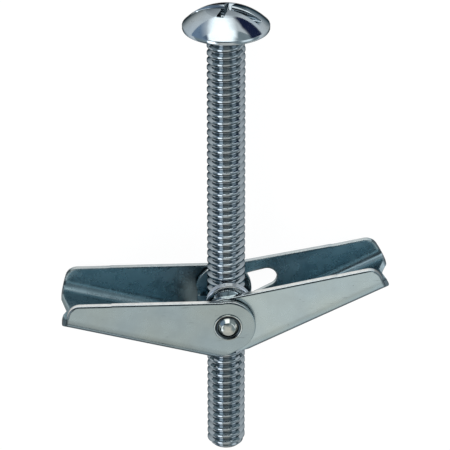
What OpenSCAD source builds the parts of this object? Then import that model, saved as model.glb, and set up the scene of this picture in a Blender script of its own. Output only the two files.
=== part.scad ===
// Spring toggle bolt for hollow walls and ceilings: a mushroom-head bolt, a
// trunnion nut on its thread, two sheet-steel channel wings that fold about the
// nut's stubs, and a torsion spring that holds the wings open.
// Millimetres. The bolt's axis is Y, with the head towards +Y and its
// underside at Y = 0. The wings' pivot axis is parallel to Z.

/* [Bolt] */
// Diameter over the thread
thread_d = 6.2; // [5.8:0.1:6.4]
// Length under the head
bolt_l = 75; // [73:1:110]
// Length of the tapered tip
tip_l = 1.3; // [0.6:0.1:1.6]
// Diameter of the flat end of the tip
tip_d = 4.4; // [3.6:0.1:5.2]
// Diameter of the mushroom head
head_d = 14; // [13:0.5:18]
// Height of the dome above its rim
dome_h = 3.05; // [2.6:0.05:3.8]
// Thickness of the head's rim
rim_h = 0.65; // [0.4:0.05:1]

/* [Drive recess] */
// Width of the slot
slot_w = 1.6; // [1.2:0.1:2]
// Depth of the slot below the top of the dome
slot_depth = 2; // [1.4:0.1:2.4]
// Radius that the cross arms reach at the top
cross_r = 2.45; // [2:0.05:3]
// Width of a cross arm
cross_w = 1.2; // [0.9:0.05:1.5]
// Depth of the cross below the top of the dome
cross_depth = 2.7; // [2.2:0.1:3.2]
// Turn of the recess about the bolt
drive_turn = -22; // [-90:1:90]

/* [Trunnion nut] */
// Distance of the pivot axis below the head
nut_below_head = 49.6; // [40:0.1:52]
// Radius of the half-round nut body
nut_r = 4.7; // [4.4:0.1:5]
// Height of the body's flat top above the pivot axis
nut_top = 0.4; // [0:0.1:1]
// Chamfer on the ends of the body
nut_chamfer = 0.5; // [0.2:0.1:0.8]
// Diameter of the pivot stubs
stub_d = 3.2; // [2.8:0.1:3.4]
// Diameter of the collar on the rear stub, in the inner wing's slot
collar_d = 4.9; // [4.2:0.1:5.2]
// Diameter of the riveted rim on a stub's end
rivet_d = 4.6; // [4.2:0.1:5.2]
// Diameter of the dome on the rim
rivet_dome_d = 3.8; // [3.2:0.1:4.1]
// Thickness of the rim
rivet_t = 0.25; // [0.15:0.05:0.4]
// Height of the dome on the rim
rivet_dome_h = 0.7; // [0.4:0.05:0.9]

/* [Wings] */
// Sheet thickness
sheet_t = 1; // [0.8:0.05:1.1]
// Gap between the flanges of the two wings
nest_gap = 0.4; // [0.3:0.05:0.45]
// Reach of a wing's tip from the pivot
wing_l = 27; // [24:0.1:32]
// Radius of the round ears
ear_r = 4.5; // [4.3:0.1:4.8]
// Height of the flanges' top edge above the pivot
edge_h = 4.4; // [4.1:0.05:4.5]
// Distance of the web's outer face below the pivot
web_drop = 7; // [6.6:0.05:7.2]
// Slope of the web towards the tip
web_slope = 14.5; // [13.5:0.1:15]
// Where the web begins, from the pivot
web_start = 6; // [6:0.1:7]
// Outer radius of the bends
bend_r = 2.6; // [2.2:0.05:2.8]
// Round at the ears' lower corner
heel_r = 1.5; // [1:0.1:2]
// Direction of the ears' lower edge
heel_turn = 64; // [60:1:68]
// Radius of the flanges' corners at the tip
corner_r = 2.1; // [1.4:0.1:2.4]
// Lean of the flanges' ends
end_lean = 10; // [6:1:18]
// Distance from the pivot to the small step in the top edge
step_at = 18.8; // [15:0.1:21]
// Height of that step
step_h = 0.15; // [0.05:0.01:0.25]
// Width of the notch in the web's tip
notch_w = 9; // [7:0.1:9.4]
// Depth of the notch, if it were sharp
notch_depth = 1.05; // [0.8:0.05:1.5]
// Round at the bottom of the notch
notch_r = 2; // [1.4:0.1:2.4]
// Round on the lobes' outer corners
lobe_r = 1.2; // [0.8:0.1:1.5]
// How far the lobes stand out beyond the flanges' ends
lobe_l = 0.5; // [0.3:0.05:0.8]
// Rise of the outer wing's top edge as it stands open
outer_open = -0.3; // [-2:0.1:2]
// Rise of the inner wing's top edge as it stands open
inner_open = 11.5; // [8:0.1:14]

/* [Assembly slot in the inner wing] */
// Distance from the pivot to the slot's far end
window_l = 9; // [8.4:0.1:9.6]
// Round at the far end
window_r = 1.6; // [1.2:0.05:1.8]
// Height of that round's centre above the pivot
window_rise = 1.27; // [1:0.01:1.5]

/* [Torsion spring] */
// Wire diameter
wire_d = 0.5; // [0.4:0.01:0.5]
// Radius of the first turn, to the wire's centre
coil_r = 3.73; // [3.6:0.01:3.8]
// How much smaller each next turn is
coil_taper = 0.1; // [0:0.01:0.12]
// Height of the coil's centre above the pivot axis
coil_rise = 2.3; // [2.1:0.05:2.5]
// Length of the legs' upright stretch
leg_drop = 1.5; // [1.2:0.1:1.6]
// Radius of the bend in the legs
leg_bend_r = 1.2; // [1:0.1:1.4]
// Length of the legs from the bend to the web
leg_l = 8; // [7:0.1:9]

/* [Clearances] */
// Radial clearance of the nut on the bolt, and of the wings on the stubs
run_gap = 0.05; // [0.03:0.01:0.06]
// Gap between pieces that bear on each other
seat_gap = 0.03; // [0.02:0.005:0.05]
// Radial room between the coil and the cheek inside it
cheek_gap = 0.33; // [0.15:0.01:0.5]
// Room beside the coil, between the bolt and the inner wing
coil_play = 0.06; // [0.05:0.01:0.4]

/* [Hidden] */
$fn = 96;
past = 1;
// Arcs reach past the straight edges they run into by this much
bite = 0.005;

thread_r = thread_d / 2;
head_h = dome_h + rim_h;
dome_r = (head_d * head_d / 4 + dome_h * dome_h) / (2 * dome_h);

bore_r = thread_r + run_gap;
stub_r = stub_d / 2;
hole_r = stub_r + run_gap;
collar_r = collar_d / 2;

coil_pitch = wire_d + coil_taper / 20;
coil_lean = 9;
coil_turns = 2 + (180 + 2 * coil_lean) / 360;
coil_z = thread_r + run_gap + wire_d / 2;
coil_side = cheek_gap - seat_gap;
coil_reach = coil_r + wire_d / 2;
cheek_r = coil_r - coil_taper * coil_turns - wire_d / 2 - cheek_gap;

inner_face = to_hundredths(coil_z + coil_pitch * coil_turns + wire_d / 2 + coil_play);
inner_w = 2 * (inner_face + sheet_t);
outer_w = inner_w + 2 * nest_gap + 2 * sheet_t;
outer_face = outer_w / 2;
cheek_z = inner_face - seat_gap;
inner_leg_z = inner_face + sheet_t - bend_r - wire_d / 2;
stub_root = cheek_z - seat_gap / 2;
collar_z = outer_face - sheet_t - seat_gap;
rivet_z = outer_face + seat_gap;

web_dist = web_drop * cos(web_slope);
web_out = [sin(web_slope), -cos(web_slope)];
heel_out = [cos(180 + heel_turn), sin(180 + heel_turn)];
tip_edge = edge_h - step_h;
web_tip = wing_l / cos(web_slope);

function to_hundredths(x) = round(100 * x) / 100;

// Crossing point of the lines n1.p = d1 and n2.p = d2
function cross_point(n1, d1, n2, d2) =
    let (det = n1[0] * n2[1] - n1[1] * n2[0])
    [(d1 * n2[1] - n1[1] * d2) / det, (n1[0] * d2 - d1 * n2[0]) / det];

// Bolt -----------------------------------------------------------------

module head_blank() {
    rotate([-90, 0, 0]) {
        cylinder(d = head_d, h = rim_h);
        intersection() {
            translate([0, 0, head_h - dome_r]) sphere(r = dome_r);
            translate([0, 0, rim_h]) cylinder(d = head_d, h = dome_h + past);
        }
    }
}

// One pair of cross arms, narrowing towards the bottom
module cross_arms() {
    translate([0, 0, -cross_w / 2]) linear_extrude(cross_w)
        polygon([[-cross_r, head_h + past], [-cross_r, head_h - cross_r * cross_r / (2 * dome_r)],
                 [-cross_w / 2, head_h - cross_depth], [cross_w / 2, head_h - cross_depth],
                 [cross_r, head_h - cross_r * cross_r / (2 * dome_r)], [cross_r, head_h + past]]);
}

module drive_recess() {
    rotate([0, drive_turn, 0]) {
        translate([-head_d / 2 - past, head_h - slot_depth, -slot_w / 2])
            cube([head_d + 2 * past, slot_depth + past, slot_w]);
        cross_arms();
        rotate([0, 90, 0]) cross_arms();
    }
}

module bolt() {
    color("lightsteelblue") {
        difference() {
            head_blank();
            drive_recess();
        }
        rotate([90, 0, 0]) {
            cylinder(r = thread_r, h = bolt_l - tip_l);
            translate([0, 0, bolt_l - tip_l])
                cylinder(r1 = thread_r, r2 = tip_d / 2, h = tip_l);
        }
    }
}

// Trunnion nut -----------------------------------------------------------

// Half-round body with chamfered ends and a step on each side for the coil
module nut_body() {
    difference() {
        rotate_extrude() polygon([[0, -cheek_z], [nut_r - nut_chamfer, -cheek_z],
            [nut_r, nut_chamfer - cheek_z], [nut_r, cheek_z - nut_chamfer],
            [nut_r - nut_chamfer, cheek_z], [0, cheek_z]]);
        translate([-nut_r - past, nut_top, -cheek_z - past])
            cube([2 * nut_r + 2 * past, nut_r + past, 2 * cheek_z + 2 * past]);
        for (side = [0, 1]) mirror([0, 0, side])
            translate([-nut_r - past, coil_rise - coil_reach - cheek_gap, thread_r])
                cube([2 * nut_r + 2 * past, 2 * nut_r, cheek_z]);
    }
}

// Stub and riveted end on the +Z side
module trunnion() {
    translate([0, 0, stub_root]) cylinder(r = stub_r, h = rivet_z + rivet_t - stub_root);
    translate([0, 0, rivet_z]) {
        cylinder(d = rivet_d, h = rivet_t);
        rivet_dome();
    }
}

module rivet_dome() {
    ball_r = (rivet_dome_d * rivet_dome_d / 4 + rivet_dome_h * rivet_dome_h) / (2 * rivet_dome_h);
    intersection() {
        translate([0, 0, rivet_t + rivet_dome_h - ball_r]) sphere(r = ball_r);
        translate([0, 0, rivet_t / 2]) cylinder(d = rivet_dome_d, h = rivet_t + rivet_dome_h);
    }
}

module trunnion_nut() {
    color("slategray") translate([0, -nut_below_head, 0]) difference() {
        union() {
            nut_body();
            translate([0, coil_rise, -cheek_z]) cylinder(r = cheek_r, h = 2 * cheek_z);
            trunnion();
            mirror([0, 0, 1]) {
                trunnion();
                translate([0, 0, stub_root]) cylinder(r = collar_r, h = collar_z - stub_root);
            }
        }
        translate([0, coil_rise + cheek_r + past, 0]) rotate([90, 0, 0])
            cylinder(r = bore_r, h = coil_rise + cheek_r + nut_r + 2 * past);
    }
}

// Wings ------------------------------------------------------------------
// A wing is drawn with its pivot at the origin, its tip towards +X, its open
// side towards +Y and its width along Z.

// Side view of a flange, from the round ear to the tip
module flange_shape() {
    heel = cross_point(web_out, web_dist - heel_r + bite, heel_out, ear_r - heel_r);
    corner_y = tip_edge - corner_r + bite;
    end_x = wing_l - lobe_l;
    end_y = end_x * tan(web_slope) - web_drop;
    end_out = [cos(end_lean), sin(end_lean)];
    corner = [end_x - (corner_y - end_y) * tan(end_lean) - corner_r / cos(end_lean), corner_y];
    end_point = corner + (corner_r - bite) * end_out;
    foot = cross_point(web_out, web_dist + past, end_out, end_point * end_out);
    circle(r = ear_r);
    translate(heel) circle(r = heel_r);
    translate(corner) circle(r = corner_r);
    polygon([[0, 0], [0, edge_h], [step_at, edge_h], [step_at + step_h, tip_edge],
             [corner[0], tip_edge], corner, end_point, foot, heel + (heel_r + past) * web_out,
             heel, heel + (heel_r - bite) * heel_out, (ear_r - bite) * heel_out]);
}

// Cross-section of the channel: web at x = 0 to sheet_t, width along y
module channel_section(w) {
    inner_r = bend_r - sheet_t;
    difference() {
        rounded_u(w, bend_r, 3 * web_drop);
        translate([sheet_t, 0]) rounded_u(w - 2 * sheet_t, inner_r, 3 * web_drop);
    }
}

module rounded_u(w, r, h) {
    translate([r, -w / 2]) square([h, w]);
    translate([0, r - w / 2]) square([2 * r, w - 2 * r]);
    for (side = [-1, 1]) translate([r, side * (w / 2 - r)]) circle(r = r);
}

// Places its children in the web's own frame: X along the web, Y inwards
module on_web() {
    translate([0, -web_drop, 0]) rotate([0, 0, web_slope]) children();
}

module channel(w) {
    on_web() translate([-2 * ear_r, 0, 0]) rotate([90, 0, 90])
        linear_extrude(2 * ear_r + web_tip + past) channel_section(w);
}

// Plan of the web's tip, with rounded outer corners
module web_plan(w) {
    translate([web_tip / 2, -w / 2]) square([web_tip / 2 - lobe_r, w]);
    translate([web_tip / 2, lobe_r - w / 2]) square([web_tip / 2, w - 2 * lobe_r]);
    for (side = [-1, 1]) translate([web_tip - lobe_r, side * (w / 2 - lobe_r)])
        circle(r = lobe_r + bite);
}

// V-shaped notch with a round bottom, in the web's plan
module notch_plan(w) {
    rise = atan(2 * notch_depth / notch_w);
    low = web_tip - notch_depth;
    seat = [low + notch_r / cos(rise) - notch_r * cos(rise), notch_r * sin(rise)];
    far = 2 * notch_depth;
    translate([low + notch_r / cos(rise), 0]) circle(r = notch_r + bite);
    polygon([[seat[0], -seat[1]], [low + far, -far / tan(rise)],
             [low + far, far / tan(rise)], [seat[0], seat[1]]]);
}

// Upright prism on a plan of the web, up to a height above its outer face
module web_prism(h) {
    on_web() translate([0, h, 0]) rotate([90, 0, 0]) linear_extrude(h + past) children();
}

// Teardrop slot in the inner wing's rear flange, wide round the nut's collar
module window_shape() {
    wide_r = collar_r + run_gap;
    far = [window_l - window_r, window_rise];
    middle = atan2(far[1], far[0]);
    taper = acos((wide_r - window_r) / norm(far));
    upper = [cos(middle + taper), sin(middle + taper)];
    lower = [cos(middle - taper), sin(middle - taper)];
    circle(r = wide_r);
    translate(far) circle(r = window_r);
    polygon([[0, 0], (wide_r - bite) * lower, far + (window_r - bite) * lower, far,
             far + (window_r - bite) * upper, (wide_r - bite) * upper]);
}

// The gap between the ears, where the web is cut away
module ear_gap(w) {
    translate([-2 * ear_r, -2 * web_drop, sheet_t - w / 2])
        cube([2 * ear_r + web_start, 4 * web_drop, w - 2 * sheet_t]);
}

module wing(w, slotted) {
    difference() {
        intersection() {
            channel(w);
            union() {
                translate([0, 0, -w / 2 - past]) linear_extrude(w + 2 * past) flange_shape();
                web_prism(bend_r - sheet_t / 2) web_plan(w);
            }
        }
        ear_gap(w);
        web_prism(2 * bend_r) notch_plan(w);
        translate([0, 0, -w]) cylinder(r = hole_r, h = 2 * w);
        if (slotted) translate([0, 0, -w / 2 - past])
            linear_extrude(sheet_t + 2 * past) window_shape();
    }
}

module outer_wing() {
    color("darkseagreen") translate([0, -nut_below_head, 0])
        mirror([1, 0, 0]) rotate([0, 0, outer_open]) wing(outer_w, false);
}

module inner_wing() {
    color("cadetblue") translate([0, -nut_below_head, 0])
        rotate([0, 0, inner_open]) wing(inner_w, true);
}

// Torsion spring ----------------------------------------------------------
// The wire rises from the outer wing's web, turns round the front cheek and
// comes down to the inner wing's web.

// Radius and depth of the coil after a given number of turns
function turn_r(t) = coil_r - coil_taper * t;
function turn_z(t) = coil_z + coil_pitch * t;

// Direction of a leg whose end rests on the web of a wing that stands open by
// open_turn, from the centre of the leg's bend
function leg_turn(bend, open_turn) =
    let (web = open_turn + web_slope,
         q = wire_d / 2 + seat_gap + sheet_t - web_dist
             + sin(web) * bend[0] - cos(web) * bend[1])
    web + asin(q / norm([leg_l, leg_bend_r])) + atan2(leg_bend_r, leg_l);

// Leg on the +X side of a coil centred at [side, coil_rise], from the coil at
// depth z to its end on the flat of the web, at depth end_z
function leg_path(side, r, z, end_z, open_turn) =
    let (down = [-sin(coil_lean), -cos(coil_lean)],
         out = [cos(coil_lean), -sin(coil_lean)],
         bend = [side, coil_rise] + r * out + leg_drop * down + leg_bend_r * out,
         turn = leg_turn(bend, open_turn),
         steps = 8, from = 180 - coil_lean, to = 270 + turn,
         arc = [for (i = [0 : steps]) let (a = from + (to - from) * i / steps)
                bend + leg_bend_r * [cos(a), sin(a)]],
         end = bend + leg_bend_r * [cos(to), sin(to)] + leg_l * [cos(turn), sin(turn)])
    [for (p = arc) [p[0], p[1], z], [end[0], end[1], end_z]];

function coil_path() =
    [for (i = [0 : round(coil_turns * 40)])
        let (t = coil_turns * i / round(coil_turns * 40), a = 180 + coil_lean - 360 * t)
        [coil_side + turn_r(t) * cos(a), coil_rise + turn_r(t) * sin(a), turn_z(t)]];

function mirrored(path) = [for (i = [len(path) - 1 : -1 : 0]) [-path[i][0], path[i][1], path[i][2]]];

spring_path = concat(
    mirrored(leg_path(-coil_side, turn_r(0), turn_z(0), turn_z(0), outer_open)),
    coil_path(),
    leg_path(coil_side, turn_r(coil_turns), turn_z(coil_turns), inner_leg_z, inner_open));

// Round wire along a path that lies nearly in the XY plane
module wire(path, d, sides) {
    n = len(path);
    rings = [for (i = [0 : n - 1])
        let (a = path[max(i - 1, 0)], b = path[min(i + 1, n - 1)],
             dir = (b - a) / norm(b - a),
             flat = norm([dir[0], dir[1]]),
             side = [-dir[1] / flat, dir[0] / flat, 0],
             up = cross(dir, side))
        for (k = [0 : sides - 1])
            path[i] + d / 2 * (cos(360 * k / sides) * side + sin(360 * k / sides) * up)];
    walls = [for (i = [0 : n - 2], k = [0 : sides - 1])
        let (m = (k + 1) % sides)
        each [[i * sides + k, i * sides + m, (i + 1) * sides + m],
              [i * sides + k, (i + 1) * sides + m, (i + 1) * sides + k]]];
    ends = [[for (k = [sides - 1 : -1 : 0]) k],
            [for (k = [0 : sides - 1]) (n - 1) * sides + k]];
    polyhedron(points = rings, faces = concat(walls, ends));
}

module torsion_spring() {
    color("gold") translate([0, -nut_below_head, 0]) wire(spring_path, wire_d, 10);
}

bolt();
trunnion_nut();
outer_wing();
inner_wing();
torsion_spring();
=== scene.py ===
"""Spring toggle bolt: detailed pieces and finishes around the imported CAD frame.

The bolt lies along Y with its head towards +Y and its underside at Y = 0. The
wings' pivot is parallel to Z. Sizes are in millimetres in the classes and in
metres in the meshes. Angles are in degrees.
"""

from __future__ import annotations

import logging
import math
from collections import Counter
from collections.abc import Iterable
from dataclasses import dataclass, field, replace
from enum import Enum
from functools import reduce

import bmesh
import bpy
import numpy as np
from mathutils import Matrix, Vector, geometry

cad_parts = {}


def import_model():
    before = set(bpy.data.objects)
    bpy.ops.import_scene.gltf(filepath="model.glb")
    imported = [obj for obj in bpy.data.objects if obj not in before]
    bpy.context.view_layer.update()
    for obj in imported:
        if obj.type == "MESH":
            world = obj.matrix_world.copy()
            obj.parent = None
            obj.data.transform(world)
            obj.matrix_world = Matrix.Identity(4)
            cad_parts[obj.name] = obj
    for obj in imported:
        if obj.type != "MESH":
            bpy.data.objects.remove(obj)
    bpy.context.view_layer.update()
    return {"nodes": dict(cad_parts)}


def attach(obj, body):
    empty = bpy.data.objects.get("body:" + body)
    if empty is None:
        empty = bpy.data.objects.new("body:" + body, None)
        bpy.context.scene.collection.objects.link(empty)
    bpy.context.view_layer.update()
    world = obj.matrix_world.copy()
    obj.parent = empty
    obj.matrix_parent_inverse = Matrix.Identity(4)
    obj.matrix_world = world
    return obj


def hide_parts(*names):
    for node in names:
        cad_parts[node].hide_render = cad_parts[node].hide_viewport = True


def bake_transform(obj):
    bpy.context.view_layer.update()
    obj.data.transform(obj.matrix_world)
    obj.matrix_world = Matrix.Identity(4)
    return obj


log = logging.getLogger("toggle_bolt")

Triple = tuple[float, float, float]
Socket = bpy.types.NodeSocket
Object = bpy.types.Object

MM = 0.001
PIVOT_BELOW_HEAD = 49.6
AT_PIVOT = Matrix.Translation((0, -PIVOT_BELOW_HEAD, 0))
OUTER_OPEN = -0.3
INNER_OPEN = 11.5
SHEET = 1.0
WEB_DROP = 7.0
WEB_SLOPE = 14.5
WEB_DIST = WEB_DROP * math.cos(math.radians(WEB_SLOPE))
MERGE_DIST = 0.002


class Side(Enum):
    """Which way a wing points from the pivot, seen from +Z with the head up."""

    LEFT = -1
    RIGHT = 1


# Plane geometry ----------------------------------------------------------


def unit(angle: float) -> np.ndarray:
    """Returns the unit vector at an angle."""
    return np.array([math.cos(math.radians(angle)), math.sin(math.radians(angle))])


def ramp(value: np.ndarray, start: float, end: float) -> np.ndarray:
    """Rises evenly from 0 where the value is start to 1 where it is end."""
    return np.clip((value - start) / (end - start), 0, 1)


def quarter(count: int) -> list[tuple[float, float]]:
    """Returns points of a quarter circle about (1, 1), from (1, 0) to (0, 1)."""
    return [(1 - math.sin(t), 1 - math.cos(t)) for t in np.linspace(0, math.pi / 2, count)]


def arc(centre: np.ndarray, radius: float, start: float, end: float, step: float = 7.5) -> list[np.ndarray]:
    """Points of a circular arc.

    Args:
        centre: Centre of the arc.
        radius: Its radius.
        start: Angle of the first point.
        end: Angle of the last point.
        step: Largest angle between points.

    Returns:
        The points from start to end, both included.
    """
    count = max(2, math.ceil(abs(end - start) / step))
    return [np.asarray(centre) + radius * unit(start + (end - start) * i / count) for i in range(count + 1)]


def crossing(n1: np.ndarray, d1: float, n2: np.ndarray, d2: float) -> np.ndarray:
    """Crossing point of the lines n1.p = d1 and n2.p = d2."""
    return np.linalg.solve(np.array([n1, n2]), np.array([d1, d2]))


def refine(loop: np.ndarray, longest: float) -> np.ndarray:
    """Splits the long edges of a closed loop.

    Args:
        loop: Points of the loop.
        longest: Longest edge that stays whole.

    Returns:
        The loop with its long edges split evenly.
    """
    points = []
    for here, there in zip(loop, np.roll(loop, -1, axis=0)):
        count = max(1, math.ceil(np.linalg.norm(there - here) / longest - 1e-9))
        points.extend(here + (there - here) * i / count for i in range(count))
    return np.array(points)


def without_doubles(loop: np.ndarray, least: float = 0.02) -> np.ndarray:
    """Drops the points of a closed loop that lie on the point before them."""
    return loop[np.linalg.norm(loop - np.roll(loop, 1, axis=0), axis=1) > least]


def outward(loop: np.ndarray) -> np.ndarray:
    """Mitred normals of a closed loop, on the right of its direction.

    Args:
        loop: Points of the loop.

    Returns:
        One vector a point, as long as moves both edges by one.
    """
    ahead = np.roll(loop, -1, axis=0) - loop
    ahead /= np.linalg.norm(ahead, axis=1)[:, None]
    behind = np.roll(ahead, 1, axis=0)
    normal = np.stack([ahead[:, 1] + behind[:, 1], -ahead[:, 0] - behind[:, 0]], axis=1)
    length = np.linalg.norm(normal, axis=1)[:, None]
    return normal / length / np.clip(length / 2, 0.5, 1)


def inside(points: np.ndarray, loop: np.ndarray) -> np.ndarray:
    """Tells which points lie inside a closed loop.

    Args:
        points: The points to test.
        loop: Points of the loop.

    Returns:
        One truth value a point.
    """
    found = np.zeros(len(points), bool)
    for (x0, y0), (x1, y1) in zip(loop, np.roll(loop, -1, axis=0)):
        spans = (y0 > points[:, 1]) != (y1 > points[:, 1])
        with np.errstate(divide="ignore", invalid="ignore"):
            reach = (x1 - x0) * (points[:, 1] - y0) / (y1 - y0) + x0
        found ^= spans & (points[:, 0] < reach)
    return found


def on_sheet(points: np.ndarray, loops: list[np.ndarray]) -> np.ndarray:
    """Tells which points lie inside an outline and outside its holes.

    Args:
        points: The points to test.
        loops: The outline and then the holes.

    Returns:
        One truth value a point.
    """
    return inside(points, loops[0]) & ~np.any([inside(points, hole) for hole in loops[1:]], axis=0)


def triangulate(loops: list[np.ndarray], more: Iterable[np.ndarray] = ()) -> tuple[np.ndarray, np.ndarray]:
    """Joins points of a plane into triangles that keep the edges of some loops.

    Args:
        loops: The loops.
        more: Points that lie on no loop.

    Returns:
        The points, with those of the loops first, and three point numbers for each triangle.
    """
    edges, first = [], 0
    for loop in loops:
        edges += [(first + i, first + (i + 1) % len(loop)) for i in range(len(loop))]
        first += len(loop)
    spots = [Vector(point) for points in (*loops, more) for point in points]
    points, _, faces, *_ = geometry.delaunay_2d_cdt(spots, edges, [], 0, 1e-7)
    return np.array([tuple(p) for p in points]), np.array(faces)


def without_slivers(points: np.ndarray, triangles: np.ndarray) -> np.ndarray:
    """Drops flat triangles whose longest side is on the border.

    Args:
        points: (x, y) of each point.
        triangles: Three point numbers for each triangle.

    Returns:
        The triangles that are left.
    """
    least_area = 1e-6
    corners = points[triangles]
    sides = np.roll(corners, -1, axis=1) - corners
    area = np.abs(sides[:, 0, 0] * sides[:, 1, 1] - sides[:, 0, 1] * sides[:, 1, 0]) / 2
    longest = np.linalg.norm(sides, axis=2).argmax(axis=1)
    edges = [[frozenset((t[k], t[(k + 1) % 3])) for k in range(3)] for t in triangles.tolist()]
    uses = Counter(edge for three in edges for edge in three)
    alone = np.array([uses[three[k]] == 1 for three, k in zip(edges, longest)])
    return triangles[(area > least_area) | ~alone]


# Meshes --------------------------------------------------------------------


def add_object(name: str, data: bpy.types.ID) -> Object:
    """Adds an object to the scene.

    Args:
        name: Its name.
        data: Its mesh or camera.

    Returns:
        The object.
    """
    added = bpy.data.objects.new(name, data)
    bpy.context.scene.collection.objects.link(added)
    return added


def mark(piece: Object, label: str, shares: Iterable[float]) -> None:
    """Stores a share for each point of a piece, for its finish to read."""
    piece.data.attributes.new(label, "FLOAT", "POINT").data.foreach_set("value", list(shares))


def weigh_normals(piece: Object) -> None:
    """Lets large flat faces keep their own normals beside rounded edges.

    Args:
        piece: The piece.
    """
    modifier = piece.modifiers.new("face_normals", "WEIGHTED_NORMAL")
    modifier.weight = 80
    modifier.keep_sharp = True


@dataclass
class Shell:
    """A mesh under construction: points in millimetres and faces of point numbers."""

    points: list[Triple] = field(default_factory=list)
    faces: list[tuple[int, ...]] = field(default_factory=list)

    def add(self, points: Iterable[Iterable[float]]) -> list[int]:
        """Adds points.

        Args:
            points: The (x, y, z) points.

        Returns:
            Their numbers.
        """
        first = len(self.points)
        self.points.extend(tuple(float(v) for v in p) for p in points)
        return list(range(first, len(self.points)))

    def bridge(self, ring: list[int], following: list[int]) -> None:
        """Joins two closed rings of as many points with quads."""
        self.faces.extend(zip(ring, ring[1:] + ring[:1], following[1:] + following[:1], following))

    def stack(self, rings: list[list[int]]) -> None:
        """Joins closed rings of as many points, each to the one before it."""
        for ring, following in zip(rings, rings[1:]):
            self.bridge(following, ring)

    def ring(self, radius: float, y: float, angles: Iterable[float]) -> list[int]:
        """Adds a ring of points about the Y axis and returns their numbers."""
        return self.add((radius * math.cos(t), y, radius * math.sin(t)) for t in angles)

    def fan(self, ring: list[int], middle: int) -> None:
        """Joins a closed ring to a middle point with triangles."""
        self.faces.extend((here, ring[(i + 1) % len(ring)], middle) for i, here in enumerate(ring))

    def revolve(self, profile: list[tuple[float, float]], steps: int) -> None:
        """Turns a profile about the Y axis.

        Args:
            profile: (radius, height) pairs from one end to the other, with a radius of 0 at both.
            steps: Number of steps round the axis.
        """
        turns = [2 * math.pi * k / steps for k in range(steps)]
        (_, low), *middle, (_, high) = profile
        (start,) = self.add([(0, low, 0)])
        rings = [self.ring(radius, y, turns) for radius, y in middle]
        (end,) = self.add([(0, high, 0)])
        self.fan(rings[0], start)
        self.stack(rings)
        self.fan(rings[-1][::-1], end)

    def build(self, name: str, place: Matrix = Matrix()) -> Object:
        """Makes the mesh object.

        Args:
            name: Name of the object.
            place: Where it goes, with lengths in millimetres.

        Returns:
            The object, with smooth faces.
        """
        mesh = bpy.data.meshes.new(name)
        points = np.array(self.points) @ np.array(place)[:3, :3].T + np.array(place)[:3, 3]
        mirrored = place.determinant() < 0
        faces = [f[::-1] for f in self.faces] if mirrored else self.faces
        mesh.from_pydata((points * MM).tolist(), [], faces)
        mesh.validate()
        mesh.update()
        mesh.shade_smooth()
        return add_object(name, mesh)


# Wings -----------------------------------------------------------------------


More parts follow.
